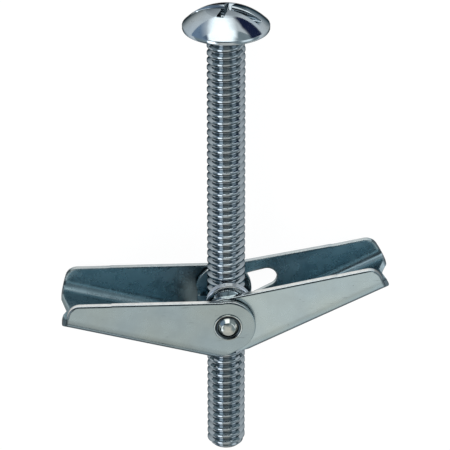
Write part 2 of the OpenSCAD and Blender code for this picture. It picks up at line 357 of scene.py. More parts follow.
@dataclass
class ChannelWing:
    """A wing: a channel of sheet steel, cut as a flat blank and folded.

    The wing is made with its pivot at the origin, its tip towards +X, its open
    side towards +Y and its width along Z. A point of the blank is (a, b): the
    distance along the web and the distance across from the web's middle.
    """

    name: str
    width: float
    opening: float
    side: Side
    slotted: bool = False
    reach: float = 27.0
    hole_r: float = 1.65
    # Ears and the flanges' top edge, with its step.
    ear_r: float = 4.5
    edge_h: float = 4.4
    step_at: float = 18.8
    step_h: float = 0.06
    # Web, bends and the ears' heels.
    web_start: float = 6.0
    bend_r: float = 2.6
    heel_r: float = 1.5
    heel_turn: float = 64.0
    # Flanges' ends, and how much the rear flange differs.
    corner_r: float = 2.1
    end_lean: float = 10.0
    rear_rise: float = 0.0
    rear_gain: float = 0.05
    rear_lean: float = 16.0
    end_points: int = 16
    # Tip: the notch, its shoulders and the lobes beside them.
    notch_w: float = 7.0
    notch_at: float = 0.9
    notch_depth: float = 0.95
    notch_r: float = 2.0
    notch_round_r: float = 1.4
    shoulder_out: float = 0.2
    lobe_out: float = 0.7
    lobe_r: float = 1.1
    lobe_l: float = 0.5
    # Cut edges: a rolled shoulder outside and a burr inside, narrower where cut_facing is 0.
    roll_over: float = 0.2
    roll_in: float = 0.32
    narrowest: float = 0.45
    burr: float = 0.07
    # Shares of bare metal at the cut edges, and of painted shade.
    end_bare: float = 0.0
    rear_bare: float = 0.45
    crease_shade: float = 0.75
    inner_bend_shade: float = 0.6
    pivot_shade: float = 0.0
    shoulder_shade: float = 0.9
    lobe_shade: float = 0.75

    def half_web(self) -> float:
        """Returns half the width of the flat of the web."""
        return self.width / 2 - self.bend_r

    def bend_l(self) -> float:
        """Returns the length of a bend round its outside."""
        return self.bend_r * math.pi / 2

    def blank_from_side(self, points: list[np.ndarray]) -> np.ndarray:
        """Unfolds points of a flange's side view into the blank.

        Args:
            points: (x, y) pairs in the side view.

        Returns:
            The (a, b) pairs, with b positive.
        """
        flat = np.array(points)
        cos, sin = unit(WEB_SLOPE)
        a = flat[:, 0] * cos + (flat[:, 1] + WEB_DROP) * sin
        rise = (flat[:, 1] + WEB_DROP) * cos - flat[:, 0] * sin
        turn = np.arccos(np.clip(1 - rise / self.bend_r, -1, 1))
        straight = rise - self.bend_r + self.bend_l()
        across = self.half_web() + np.where(rise < self.bend_r, self.bend_r * turn, straight)
        return np.stack([a, across], axis=1)

    def fold(self, blank: np.ndarray, depth: float) -> np.ndarray:
        """Folds points of the blank into the channel.

        Args:
            blank: The (a, b) pairs.
            depth: Distance below the outer face.

        Returns:
            The (x, y, z) points in the wing's own frame.
        """
        a, across = blank[:, 0], np.abs(blank[:, 1])
        half, radius = self.half_web(), self.bend_r - depth
        turn = np.clip((across - half) / self.bend_r, 0, math.pi / 2)
        z = np.minimum(across, half) + radius * np.sin(turn)
        rise = self.bend_r - radius * np.cos(turn) + np.maximum(across - half - self.bend_l(), 0)
        cos, sin = unit(WEB_SLOPE)
        x, y = a * cos - rise * sin, a * sin + rise * cos - WEB_DROP
        return np.stack([x, y, np.sign(blank[:, 1]) * z], axis=1)

    def flange_side(self, sign: int) -> list[np.ndarray]:
        """Side view of a flange.

        Args:
            sign: 1 for the front flange, -1 for the rear one.

        Returns:
            The (x, y) points, from the foot of its end over the ear to the web's line.
        """
        rear = sign < 0
        raised_to, plain_from = 150, 160
        end_lean = self.rear_lean if rear else self.end_lean
        rise = self.rear_rise if rear else 0.0
        end_x = self.reach + (self.rear_gain if rear else -self.lobe_l)
        web_out, end_out, heel_out = unit(WEB_SLOPE - 90), unit(end_lean), unit(180 + self.heel_turn)
        ear_r, edge_h = self.ear_r + rise, self.edge_h + rise
        tip_rise, step_rise = 0.2 * rise, 0.05 * rise
        tip_h = self.edge_h - self.step_h + tip_rise
        end_y = end_x * math.tan(math.radians(WEB_SLOPE)) - WEB_DROP
        lean, corner_y = math.radians(end_lean), tip_h - self.corner_r
        corner_x = end_x - (corner_y - end_y) * math.tan(lean) - self.corner_r / math.cos(lean)
        corner = np.array([corner_x, corner_y])
        foot = crossing(web_out, WEB_DIST, end_out, float(corner @ end_out) + self.corner_r)
        along = corner + self.corner_r * end_out - foot
        heel = crossing(web_out, WEB_DIST - self.heel_r, heel_out, self.ear_r - self.heel_r)
        top = math.degrees(math.asin(edge_h / ear_r))
        points = [foot + along * i / self.end_points for i in range(self.end_points)]
        points += arc(corner, self.corner_r, end_lean, 90)
        points += [np.array([self.step_at + 2 * self.step_h, tip_h])]
        points += [np.array([self.step_at, tip_h + self.step_h + step_rise])]
        points += arc(np.zeros(2), ear_r, top, raised_to, 5)
        points += arc(np.zeros(2), self.ear_r, plain_from, 180 + self.heel_turn, 5)
        return points + arc(heel, self.heel_r, 180 + self.heel_turn, 270 + WEB_SLOPE, 6)

    def tip_edge(self, flange: np.ndarray, sign: int) -> list[np.ndarray]:
        """Half of the tip's edge: the notch and the lobe beside it.

        Args:
            flange: The flange's outline in the blank, from the foot of its end.
            sign: 1 for the front half, -1 for the rear one.

        Returns:
            The (a, b) points, from the middle of the notch to the flange's end, with b positive.
        """
        slope = math.cos(math.radians(WEB_SLOPE))
        tip = (self.reach + (self.rear_gain if sign < 0 else 0.0)) / slope
        low = self.reach / slope - self.notch_depth
        rise = math.degrees(math.atan((tip - low) / (self.notch_w / 2 - sign * self.notch_at)))
        seat = np.array([low + self.notch_r / math.cos(math.radians(rise)), sign * self.notch_at])
        shoulder = np.array([tip - self.notch_round_r, self.notch_w / 2 + self.shoulder_out])
        lobe = np.array([tip - self.lobe_r, self.half_web() + self.lobe_out])
        half = arc(seat, self.notch_r, 180, 180 - rise, 6)
        half += arc(shoulder, self.notch_round_r, -rise, 0, 6)
        half += arc(lobe, self.lobe_r, 0, 86, 12)
        half = np.array(half)
        least = 0.04
        end = np.interp(half[:, 1], flange[: self.end_points, 1], flange[: self.end_points, 0])
        return list(half[(half[:, 0] > end + least) | (half[:, 1] < self.half_web())])

    def half_outline(self, sign: int) -> np.ndarray:
        """One half of the blank's outline.

        Args:
            sign: 1 for the front half, -1 for the rear one.

        Returns:
            The (a, b) points, from the notch's middle to the middle of the web's root, with b positive.
        """
        flange = self.blank_from_side(self.flange_side(sign))
        half = self.tip_edge(flange, sign)
        edge, round_r, least = self.half_web() + 0.3, 0.6, 0.15
        past = np.flatnonzero(flange[:, 1] < edge)
        last = past[past > len(flange) // 2][0]
        start = self.web_start / math.cos(math.radians(WEB_SLOPE))
        half += [p for p in flange[:last] if p[1] > half[-1][1] + least or p[0] < self.step_at]
        half += [np.array([flange[last - 1, 0] + 0.3, edge])]
        half += arc(np.array([start - round_r, edge - round_r]), round_r, 90, 0, 15)
        return np.array([*half, [start, 0.0]])

    def blank_outline(self) -> np.ndarray:
        """Returns the outline of the blank, anticlockwise in (a, b)."""
        front, rear = self.half_outline(1), self.half_outline(-1) * [1, -1]
        return refine(without_doubles(np.vstack([front, rear[-2:0:-1]])), 0.8)

    def holes(self) -> list[np.ndarray]:
        """Cuts the pivot's hole in each flange, or a slot in the rear one.

        Returns:
            Their outlines in the blank, clockwise in (a, b).
        """
        found = []
        for sign in (1, -1):
            plain = arc(np.zeros(2), self.hole_r, 0, 360)[:-1]
            side = self.slot_side() if self.slotted and sign < 0 else plain
            flat = self.blank_from_side(side) * [1, sign]
            area = np.sum(flat[:, 0] * np.roll(flat[:, 1], -1) - flat[:, 1] * np.roll(flat[:, 0], -1))
            found.append(refine(flat[::-1] if area > 0 else flat, 0.8))
        return found

    def slot_side(self) -> list[np.ndarray]:
        """Side view of the teardrop slot, wide round the nut's collar.

        Returns:
            Its (x, y) points.
        """
        wide_r, far_r, far = 2.5, 1.6, np.array([7.4, 1.27])
        middle = math.degrees(math.atan2(far[1], far[0]))
        taper = math.degrees(math.acos((wide_r - far_r) / np.linalg.norm(far)))
        wide = arc(np.zeros(2), wide_r, middle + taper, middle + 360 - taper)
        return wide + arc(far, far_r, middle - taper, middle + taper)

    def edge_profile(self) -> list[tuple[float, float]]:
        """Returns the cut edge across the sheet, as (inset, depth) pairs from the outer face."""
        under = [(self.burr * x, SHEET - self.burr * y) for x, y in reversed(quarter(4))]
        return [(self.roll_in * x, self.roll_over * y) for x, y in quarter(7)] + under

    def cut_facing(self, loop: np.ndarray) -> np.ndarray:
        """Tells where a cut edge is broad and bare.

        Args:
            loop: The edge's outline in the blank.

        Returns:
            A share for each point: 1 where it is, and less along the flanges' ends.
        """
        facing = ramp(np.abs(outward(loop)[:, 1]), 0.7, 0.95)
        front_end = (loop[:, 1] > self.half_web() + 1.5 * self.bend_r) & (loop[:, 0] > self.reach / 2)
        return np.where(front_end, np.maximum(facing, self.end_bare), facing)

    def fill_points(self, cores: list[np.ndarray]) -> np.ndarray:
        """Points inside the blank, in rows close enough to follow the bends.

        Args:
            cores: The inset outline and holes.

        Returns:
            The (a, b) points.
        """
        half, flange = self.half_web(), self.half_web() + self.bend_l()
        bend_steps, bend_gap, flat_gap, clear = 8, 0.45, 0.9, 0.2
        rows = [half + self.bend_l() * i / bend_steps for i in range(bend_steps + 1)]
        rows += [0.0, half * 0.3, half * 0.6, half * 0.85, half - 0.25]
        rows += [flange + d for d in (0.25, 1.0, 2.2, 3.6, 5.2, 7.0)]
        points = []
        for row in rows:
            for a in np.arange(-5, 28, bend_gap if half <= row <= flange else flat_gap):
                points += [(a, row), (a, -row)] if row > 0 else [(a, row)]
        points = np.array(points)
        points = points[on_sheet(points, cores)]
        border = np.vstack(cores)
        far = np.array([np.min(np.hypot(*(border - p).T)) for p in points])
        return points[far > clear]

    def build(self) -> Object:
        """Makes the wing.

        Returns:
            Its mesh object, opened and in place on the pivot.
        """
        loops = [self.blank_outline(), *self.holes()]
        profile = self.edge_profile()
        cores = [loop - outward(loop) * (self.roll_in + 0.06) for loop in loops]
        flat, faces = triangulate(cores, self.fill_points(cores))
        shell = Shell()
        outer, inner = (shell.add(self.fold(flat, depth)) for depth in (0, SHEET))
        for a, b, c in without_slivers(flat, faces[on_sheet(flat[faces].mean(axis=1), cores)]):
            shell.faces += [(outer[a], outer[b], outer[c]), (inner[c], inner[b], inner[a])]
        first = 0
        for loop in loops:
            last = first + len(loop)
            share = self.narrowest + (1 - self.narrowest) * self.cut_facing(loop)[:, None]
            inward = -outward(loop) * share
            edge = [shell.add(self.fold(loop + inward * inset, depth)) for inset, depth in profile]
            shell.stack([outer[first:last], *edge, inner[first:last]])
            first = last
        mirrored = Matrix.Scale(self.side.value, 4, (1, 0, 0))
        turned = Matrix.Rotation(math.radians(self.opening), 4, "Z")
        piece = shell.build(self.name, AT_PIVOT @ mirrored @ turned)
        self.mark_wear_and_painted_shade(piece, flat, loops, profile)
        return piece

    def mark_wear_and_painted_shade(
        self, piece: Object, flat: np.ndarray, loops: list[np.ndarray], profile: list[tuple[float, float]]
    ) -> None:
        """Marks bare metal, painted shade and the inner face for the finish.

        Args:
            piece: The wing.
            flat: The (a, b) points of its outer face, and of its inner one after it.
            loops: Its outline and holes in the blank.
            profile: The cut edge's profile.
        """
        # Painted shade: a dark line along the outer bend, a darker inner web and inner bend, and a darker
        # inner face near the pivot.
        crease_start, crease_end, inner_end = (2, 14), (56, 42), (80, 66)
        pivot_end, shoulder_width, bare_start = (9.5, 6.5), (0.45, 0.225), (0.45, 0.85)
        turn = np.degrees((np.abs(flat[:, 1]) - self.half_web()) / self.bend_r)
        creased = self.crease_shade * ramp(turn, *crease_start) * ramp(turn, *crease_end)
        near_pivot = self.pivot_shade * ramp(flat[:, 0], *pivot_end)
        shaded = np.maximum(self.inner_bend_shade * ramp(turn, *inner_end), near_pivot)
        bare, dark = [0.0] * (2 * len(flat)), [*creased, *shaded]
        for loop in loops:
            facing = self.cut_facing(loop)
            rubbed = facing * np.where(loop[:, 1] > 0, 1.0, self.rear_bare)
            # Painted shade on the cut edges: a dark line along each rolled shoulder, and darker edges on the
            # tip's bent lobes.
            bent = np.abs(np.abs(loop[:, 1]) - self.half_web() - self.bend_r) < self.bend_r + 0.6
            lobe = np.where(bent & (loop[:, 0] > self.reach / 2), self.lobe_shade, 0.0)
            for inset, depth in profile:
                roll, off_middle = depth / self.roll_over, abs(inset / self.roll_in - 0.5)
                shoulder = ramp(off_middle, *shoulder_width) if roll < 1 else 0.0
                bare += [*(rubbed * ramp(roll, *bare_start))]
                dark += [*np.maximum(facing * self.shoulder_shade * shoulder, lobe)]
        count = len(flat)
        mark(piece, "worn", bare)
        # Painted shade marks: dark lines in the bends and under the cut edges, the inner web, the lobes and
        # the area near the pivot.
        mark(piece, "painted_shade", dark)
        mark(piece, "inside", [0.0] * count + [1.0] * count + [0.0] * (len(bare) - 2 * count))


# Bolt ------------------------------------------------------------------------


@dataclass
class MachineScrew:
    """The bolt: a right-hand thread up to a mushroom head with a combined recess."""

    name: str = "machine_screw"
    length: float = 75.0
    # Thread: phase is a share of the pitch, and steps are those of a turn.
    pitch: float = 1.27
    crest_r: float = 3.1
    root_r: float = 2.47
    crest_flat: float = 0.11
    crest_round: float = 0.07
    root_round: float = 0.2
    phase: float = 0.06
    steps: int = 72
    # Tip, and the fillet under the head.
    tip_r: float = 2.2
    tip_l: float = 1.3
    fillet_l: float = 0.3
    fillet_r: float = 0.9
    # Head: a rim with a dome on it.
    head_r: float = 7.0
    rim_h: float = 0.65
    dome_h: float = 3.05
    # The recess: a slot and a cross, with walls that lean by recess_wall.
    slot_w: float = 1.6
    slot_depth: float = 2.0
    cross_r: float = 2.45
    cross_w: float = 1.2
    cross_depth: float = 2.7
    recess_wall: float = 0.09
    recess_round: float = 0.05
    drive_turn: float = -22.0

    def thread_profile(self) -> np.ndarray:
        """One pitch of the thread's profile.

        Returns:
            (height, radius) pairs over one pitch, from crest to crest, without the last.
        """
        half = self.pitch / 2
        turns = [(math.sin(t), 1 - math.cos(t)) for t in np.linspace(0, math.radians(60), 4)]
        crest, root = self.crest_round, self.root_round
        side = [(0.0, self.crest_r)]
        side += [(self.crest_flat + crest * x, self.crest_r - crest * y) for x, y in turns]
        side += [(half - root * x, self.root_r + root * y) for x, y in reversed(turns)]
        return np.array(side + [(self.pitch - y, r) for y, r in side[-2:0:-1]])

    def envelope(self, y: np.ndarray) -> tuple[np.ndarray, np.ndarray]:
        """Limits of the shank's radius, at its tip and at the fillet under the head.

        Args:
            y: Heights.

        Returns:
            The least and the greatest radius at each height.
        """
        widest = self.crest_r + 0.05
        swell = np.sin(ramp(y + self.length, 0, self.tip_l) * math.pi / 2)
        nose = self.tip_r + (widest - self.tip_r) * swell
        below = np.clip(-y, 0, self.fillet_l)
        curve = 1 - np.sqrt(1 - (1 - below / self.fillet_l) ** 2)
        foot = self.root_r + np.where(below < self.fillet_l, self.fillet_r * curve, 0)
        return np.minimum(foot, nose), nose + np.where(y > -self.fillet_l, 1.0, 0.0)

    def thread(self, shell: Shell) -> list[int]:
        """Adds the threaded shank.

        Args:
            shell: The mesh under construction.

        Returns:
            Its ring under the head.
        """
        profile = self.thread_profile()
        # Turns past either end are clipped onto it.
        turns_below = 2
        turns = math.ceil(self.length / self.pitch) + turns_below + 1
        base_y = np.concatenate([profile[:, 0] + self.pitch * k for k in range(turns)])
        base_y = base_y - self.length - turns_below * self.pitch
        base_r = np.tile(profile[:, 1], turns)
        columns = []
        for i in range(self.steps):
            share = i / self.steps
            turn = 2 * math.pi * share
            y = base_y + self.pitch * (share + self.phase)
            flat = np.clip(y, -self.length, 0)
            radius = np.clip(base_r, *self.envelope(flat))
            radius = np.where(y <= -self.length, self.tip_r, radius)
            radius = np.where(y >= 0, self.root_r + self.fillet_r, radius)
            column = np.stack([radius * math.sin(turn), flat, radius * math.cos(turn)], axis=1)
            columns.append(shell.add(column))
        # The last column joins the first one, a pitch further up.
        for i, here in enumerate(columns):
            there = columns[(i + 1) % self.steps]
            jump = len(profile) if i == self.steps - 1 else 0
            for k in range(len(base_y) - 1 - jump):
                shell.faces.append((here[k], there[k + jump], there[k + 1 + jump], here[k + 1]))
        return [column[-1] for column in columns]

    def top(self, u: np.ndarray, v: np.ndarray) -> np.ndarray:
        """Height of the head's top, with the recess.

        Args:
            u: Distance along the slot.
            v: Distance across it.

        Returns:
            The heights above the head's underside.
        """
        ball = (self.head_r**2 + self.dome_h**2) / (2 * self.dome_h)
        peak = self.rim_h + self.dome_h
        dome = np.sqrt(np.maximum(ball**2 - u**2 - v**2, 1e-6)) - ball + peak

        def cut(across: np.ndarray, half: float, floor: np.ndarray | float) -> np.ndarray:
            """Returns the height of a groove's floor and walls, and of the dome outside them."""
            out = np.clip((np.abs(across) - half + self.recess_wall) / self.recess_wall, 0, 1)
            return np.where(out < 1, floor + (dome - floor) * out**1.5, dome)

        arm = self.cross_w / 2
        rise = self.cross_depth - self.cross_r**2 / (2 * self.dome_h)
        slot = cut(v, self.slot_w / 2, peak - self.slot_depth)
        low = np.minimum(dome, slot)
        for along, across in ((u, v), (v, u)):
            share = np.clip((np.abs(along) - arm) / (self.cross_r - arm), 0, 4)
            low = np.minimum(low, cut(across, arm, peak - self.cross_depth + rise * share))
        near = np.clip(1 - np.abs(dome - slot) / self.recess_round, 0, 1)
        return low - self.recess_round * near**2 / 6

    def top_rows(self) -> np.ndarray:
        """Rows of the head's grid, close together at the recess's walls and at the rim.

        Returns:
            Their distances from the middle, from one side to the other.
        """
        half, arm = self.slot_w / 2, self.cross_w / 2
        rows = [0.15, 0.3, 0.42]
        rows += [arm + d for d in (-self.recess_wall, -0.06, -0.02, 0.02)]
        rows += [half + d for d in (-self.recess_wall, -0.06, -0.03, 0.0, 0.03, 0.1)]
        rows += [*np.linspace(half + 0.25, self.cross_r + 0.2, 12), *np.linspace(2.8, 6.2, 22)[1:]]
        rows += [6.4, 6.6, 6.74, 6.83]
        return np.array([-row for row in reversed(rows)] + [0.0] + rows)

    def top_grid(self) -> tuple[np.ndarray, np.ndarray]:
        """Grid of the head's top: square about the recess and rounded towards the rim.

        Returns:
            The distances along and across the slot, each as rows by columns.
        """
        rows = self.top_rows()
        across = np.repeat(rows[:, None], len(rows), axis=1)
        size, last, square = np.abs(rows), rows[-1], self.cross_r + 0.2
        reach = np.sqrt((self.head_r - 0.14) ** 2 - across**2)
        plain = np.clip(size, 0, square) + (reach - square) * ramp(size, square, last)
        scaled = size / last * reach
        share = ramp(np.abs(across), square, square + 3.0)
        share = share * share * (3 - 2 * share)
        return np.sign(rows) * (plain * (1 - share) + scaled * share), across

    def head(self, shell: Shell, under: list[int]) -> None:
        """Adds the head.

        Args:
            shell: The mesh under construction.
            under: The ring where the shank meets the head's underside.
        """
        u, v = self.top_grid()
        cos, sin = unit(self.drive_turn)
        points = np.stack([u * cos + v * sin, self.top(u, v), v * cos - u * sin], axis=-1)
        grid = np.array(shell.add(points.reshape(-1, 3))).reshape(u.shape)
        squares = np.stack([grid[:-1, :-1], grid[1:, :-1], grid[1:, 1:], grid[:-1, 1:]], axis=-1)
        shell.faces += [tuple(square) for square in squares.reshape(-1, 4).tolist()]
        border = [int(n) for n in (*grid[0, :-1], *grid[:-1, -1], *grid[-1, :0:-1], *grid[:0:-1, 0])]
        x, _, z = np.array([shell.points[n] for n in border]).T
        angle = np.unwrap(np.arctan2(z, x))
        low = self.rim_h + 0.02
        rim = ((0.05, low + 0.05), (0.0, low - 0.04), (0.0, 0.16), (0.05, 0.05), (0.16, 0.0))
        rings = [border, *(shell.ring(self.head_r - inset, y, angle) for inset, y in rim)]
        shell.stack(rings)
        numbers = [*rings[-1], *under]
        loops = [np.array([shell.points[n] for n in loop])[:, ::2] for loop in (rings[-1], under)]
        _, faces = triangulate(loops)
        shell.faces += [tuple(numbers[n] for n in face) for face in faces if min(face) < len(border)]

    def build(self) -> Object:
        """Makes the bolt.

        Returns:
            Its mesh object, closed and with a flat end at its tip.
        """
        shell = Shell()
        self.head(shell, self.thread(shell))
        piece = shell.build(self.name)
        mesh = bmesh.new()
        mesh.from_mesh(piece.data)
        bmesh.ops.remove_doubles(mesh, verts=mesh.verts, dist=MERGE_DIST * MM)
        bmesh.ops.dissolve_degenerate(mesh, edges=mesh.edges, dist=MERGE_DIST / 4 * MM)
        open_edges = [e for e in mesh.edges if e.is_boundary]
        tip = [e for e in open_edges if all(abs(v.co.y / MM + self.length) < 0.01 for v in e.verts)]
        flat = bmesh.ops.holes_fill(mesh, edges=tip, sides=0)["faces"]
        bmesh.ops.recalc_face_normals(mesh, faces=mesh.faces)
        for face in mesh.faces:
            face.smooth = face not in flat
        log.info("%s: %d open edges", self.name, sum(e.is_boundary for e in mesh.edges))
        mesh.to_mesh(piece.data)
        mesh.free()
        return piece


# Nut and spring ----------------------------------------------------------------


@dataclass
class RivetEnd:
    """The polished riveted end of one of the nut's stubs.

    Its heights start at face_z, just off the outer wing's ear.
    """

    name: str
    face_z: float
    rim_r: float = 2.33
    rim_h: float = 0.26
    foot_r: float = 1.72
    shoulder_r: float = 1.12
    shoulder_h: float = 0.76
    crown_h: float = 0.95
    steps: int = 72

    def profile(self) -> list[Triple]:
        """Half section of the end: a raised ring, a groove and a low ball.

        Returns:
            (radius, height, painted shade) from the back over the edge to the middle. The last is the share
            of painted shade, 1 in the groove.
        """
        crest, foot = self.rim_h, self.foot_r
        # Each entry of the ring is an inset from its edge, a height and a share of painted shade.
        ring = [(0.08, -0.05, 0.0), (0.02, 0.03, 0.6), (0.0, 0.08, 0.4), (0.01, crest - 0.11, 0.0)]
        ring += [(0.05, crest - 0.04, 0.0), (0.12, crest, 0.0), (0.2, crest - 0.03, 0.2)]
        ring += [(0.3, crest - 0.12, 0.8), (0.42, 0.02, 1.0)]
        points = [(0.0, -0.05, 0.0)] + [(self.rim_r - inset, y, painted_shade) for inset, y, painted_shade in ring]
        points += [(foot + 0.06, 0.0, 1.0), (foot - 0.03, 0.05, 1.0)]
        for share in np.linspace(0.12, 1, 9):
            radius = foot + (self.shoulder_r - foot) * share
            points.append((radius, self.shoulder_h * share, max(0.9 - 2.2 * share, 0.0)))
        for share in np.linspace(0, 1, 12)[1:]:
            swell = (self.crown_h - self.shoulder_h) * math.sin(share * math.pi / 2)
            points.append((self.shoulder_r * (1 - share), self.shoulder_h + swell, 0.0))
        return points

    def build(self) -> Object:
        """Makes the end, on the side of the sign of face_z.

        Returns:
            Its mesh object.
        """
        points = self.profile()
        shell = Shell()
        shell.revolve([(radius, height) for radius, height, _ in points], self.steps)
        upright = Matrix.Rotation(math.radians(math.copysign(90, self.face_z)), 4, "X")
        piece = shell.build(self.name, AT_PIVOT @ Matrix.Translation((0, 0, self.face_z)) @ upright)
        counts = [1, *[self.steps] * (len(points) - 2), 1]
        # Painted shade in the groove round the ball and on the ring's edges.
        mark(piece, "painted_shade", np.repeat([painted_shade for *_, painted_shade in points], counts))
        return piece


@dataclass
class NutBody:
    """The nut's barrel and stubs, cut off at cut_z from the bolt's axis, without the riveted ends."""

    name: str = "nut_body"
    cut_z: float = 7.36
    sharp_from: float = 28.0

    def build(self, node: Object) -> Object:
        """Makes the body.

        Args:
            node: The plain nut.

        Returns:
            Its mesh object.
        """
        mesh = bmesh.new()
        mesh.from_mesh(node.data)
        mesh.transform(node.matrix_world)
        bmesh.ops.remove_doubles(mesh, verts=mesh.verts, dist=MERGE_DIST * MM)
        for side in (1, -1):
            parts = [*mesh.verts, *mesh.edges, *mesh.faces]
            spot, axis = (0, 0, side * self.cut_z * MM), (0, 0, side)
            cut = bmesh.ops.bisect_plane(mesh, geom=parts, plane_co=spot, plane_no=axis, clear_outer=True)
            edges = [e for e in cut["geom_cut"] if isinstance(e, bmesh.types.BMEdge)]
            bmesh.ops.holes_fill(mesh, edges=edges, sides=0)
        bmesh.ops.recalc_face_normals(mesh, faces=mesh.faces)
        data = bpy.data.meshes.new(self.name)
        mesh.to_mesh(data)
        mesh.free()
        data.shade_smooth()
        data.set_sharp_from_angle(angle=math.radians(self.sharp_from))
        return add_object(self.name, data)


@dataclass
class TorsionSpring:
    """The spring's wire: a coil about the nut's cheek and a leg to each wing.

    The coil's middle lies offset and rise from the pivot, along X and Y. The legs
    go down from it, bend outwards and end on the webs.
    """

    wire_d: float = 0.5
    sides: int = 16
    # Coil: its radius lessens by taper each turn.
    coil_r: float = 3.62
    taper: float = -0.045
    offset: float = 0.3
    rise: float = 2.3
    first_z: float = 3.4
    pitch: float = 0.505
    # Legs: their ends stand off the webs by clearance.
    drop: float = 1.5
    bend_r: float = 1.2
    leg_l: float = 8.0
    lean: float = 9.0
    clearance: float = 0.03
    inner_leg_z: float = 3.15

    def turns(self) -> float:
        """Returns the number of turns of the coil."""
        return 2 + (180 + 2 * self.lean) / 360

    def coil(self) -> np.ndarray:
        """Points along the coil, from the outer wing's leg on.

        Returns:
            The (x, y, z) points.
        """
        share = np.linspace(0, self.turns(), 150)
        turn = np.radians(180 + self.lean - 360 * share)
        radius = self.coil_r - self.taper * share
        x, y = self.offset + radius * np.cos(turn), self.rise + radius * np.sin(turn)
        return np.stack([x, y, self.first_z + self.pitch * share], axis=1)

    def leg(self, offset: float, radius: float, z: float, end_z: float, opening: float) -> np.ndarray:
        """Points of a leg on the +X side, from the coil to its end on the web.

        Args:
            offset: How far the coil's middle lies towards +X from the pivot.
            radius: The coil's radius at this leg.
            z: Where the leg leaves the coil.
            end_z: Where it ends.
            opening: How far the wing stands open.

        Returns:
            The (x, y, z) points.
        """
        down, out = -unit(90 - self.lean), unit(-self.lean)
        start = np.array([offset, self.rise]) + radius * out
        bend = start + self.drop * down + self.bend_r * out
        # The leg is turned until its end stands the clearance off the web's inner face.
        web = opening + WEB_SLOPE
        cos, sin = unit(web)
        gap = self.wire_d / 2 + self.clearance + SHEET - WEB_DIST + sin * bend[0] - cos * bend[1]
        turn = math.asin(gap / math.hypot(self.leg_l, self.bend_r)) + math.atan2(self.bend_r, self.leg_l)
        turn = web + math.degrees(turn)
        path = [start + self.drop * down * t for t in (0, 0.3, 0.6)]
        path += arc(bend, self.bend_r, 180 - self.lean, 270 + turn, 6)
        along = np.linspace(0, 1, 14)[1:]
        depth = [z] * len(path) + [z + (end_z - z) * t for t in along]
        straight = [path[-1] + self.leg_l * unit(turn) * t for t in along]
        return np.column_stack([np.array(path + straight), depth])

    def sweep(self, name: str, path: np.ndarray) -> Object:
        """Makes round wire with rounded ends along a path.

        Args:
            name: Name of the object.
            path: The wire's middle.

        Returns:
            The mesh object.
        """
        ahead = np.gradient(path, axis=0)
        ahead /= np.linalg.norm(ahead, axis=1)[:, None]
        flat = np.column_stack([-ahead[:, 1], ahead[:, 0], np.zeros(len(path))])
        flat /= np.linalg.norm(flat, axis=1)[:, None]
        up = np.cross(ahead, flat)
        radius, last = self.wire_d / 2, len(path) - 1
        # Each station is a point of the path, a shift along it and a share of the radius.
        stations = [(0, -0.6, 0.5), (0, -0.35, 0.85)] + [(i, 0.0, 1.0) for i in range(len(path))]
        stations += [(last, 0.35, 0.85), (last, 0.6, 0.5)]
        turns = np.linspace(0, 2 * math.pi, self.sides, endpoint=False)
        shell = Shell()
        rings = []
        for i, shift, share in stations:
            middle = path[i] + ahead[i] * shift * radius
            ring = [middle + radius * share * (math.cos(t) * flat[i] + math.sin(t) * up[i]) for t in turns]
            rings.append(shell.add(ring))
        for ring, following in zip(rings, rings[1:]):
            shell.bridge(ring, following)
        bulge = 0.68 * radius
        ends = shell.add([path[0] - ahead[0] * bulge, path[-1] + ahead[-1] * bulge])
        shell.fan(rings[0][::-1], ends[0])
        shell.fan(rings[-1], ends[1])
        return shell.build(name, AT_PIVOT)

    def build(self) -> tuple[Object, Object, Object]:
        """Makes the wire.

        Returns:
            The coil, the outer wing's leg and the inner wing's leg.
        """
        end_r, end_z = self.coil_r - self.taper * self.turns(), self.first_z + self.pitch * self.turns()
        outer = self.leg(-self.offset, self.coil_r, self.first_z, self.first_z, OUTER_OPEN) * [-1, 1, 1]
        inner = self.leg(self.offset, end_r, end_z, self.inner_leg_z, INNER_OPEN)
        paths = {"spring_coil": self.coil(), "spring_leg_outer": outer, "spring_leg_inner": inner}
        return tuple(self.sweep(name, path) for name, path in paths.items())


# Finishes --------------------------------------------------------------------


